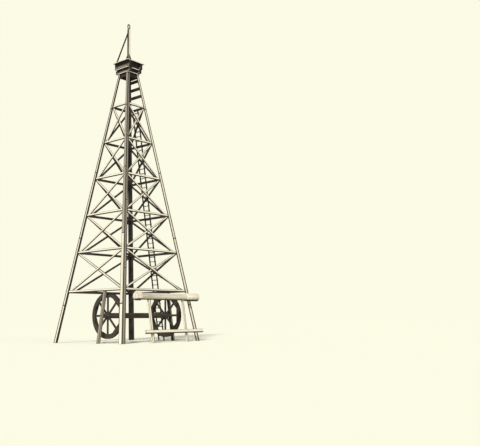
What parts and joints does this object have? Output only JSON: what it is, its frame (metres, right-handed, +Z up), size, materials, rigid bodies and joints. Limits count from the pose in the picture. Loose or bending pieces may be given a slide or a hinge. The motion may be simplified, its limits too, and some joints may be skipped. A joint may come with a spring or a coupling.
{
  "type": "wooden oil drilling derrick",
  "caption": "Tapering timber drilling derrick with cross-braced sides, a stepped crown, a gin pole, a ladder, bull wheels on a shaft and a log frame.",
  "frame": {"origin": "the foot of the near (front left) leg, in the middle of its front plank, on the ground", "axes": "+Z up, +X along the front side towards the log frame's far end, +Y into the derrick"},
  "size_m": [6.3395, 6.6196, 20.3978],
  "materials": {
    "pine": "sawn pine planks, weathered, nailed",
    "shadow_pine": "old pine, dark with weather",
    "bull_wheel_wood": "sawn oak and pine, worn by rope",
    "log_wood": "peeled round timber with checks",
    "iron": "wrought iron, dull"
  },
  "bodies": {
    "derrick": {"leg_front_left": "pine", "leg_front_right": "pine", "leg_back_right": "pine", "leg_back_left": "pine", "girts_front": "pine", "girts_right": "pine", "girts_back": "pine", "girts_left": "pine", "braces_front": "pine", "braces_right": "pine", "braces_back": "pine", "braces_left": "pine", "ladder_rails": "shadow_pine", "ladder_rungs": "pine", "top_step_boards": "shadow_pine", "crown_headers": "shadow_pine", "low_deck_planks": "pine", "low_crown_timbers": "shadow_pine", "middle_deck_planks": "pine", "top_crown_timbers": "shadow_pine", "top_deck_planks": "pine", "gin_pole": "pine", "gin_pole_brace": "shadow_pine", "gin_pole_cleats": "shadow_pine", "gin_pole_ring": "iron", "bull_wheel_posts": "pine", "front_log": "log_wood", "log_post_left": "pine", "log_post_right": "pine", "foot_rail": "pine"},
    "bull_wheel": {"bull_wheel_shaft": "bull_wheel_wood", "bull_wheel_gudgeons": "iron", "left_wheel_arms": "bull_wheel_wood", "left_wheel_rim": "bull_wheel_wood", "right_wheel_arms": "bull_wheel_wood", "right_wheel_rim": "bull_wheel_wood"}
  },
  "joints": [
    {"name": "bull_wheel_spin", "type": "hinge", "parent": "derrick", "child": "bull_wheel", "pos_m": [3.015, 2.165, 1.6], "axis": [1, 0, 0], "continuous": true}
  ]
}
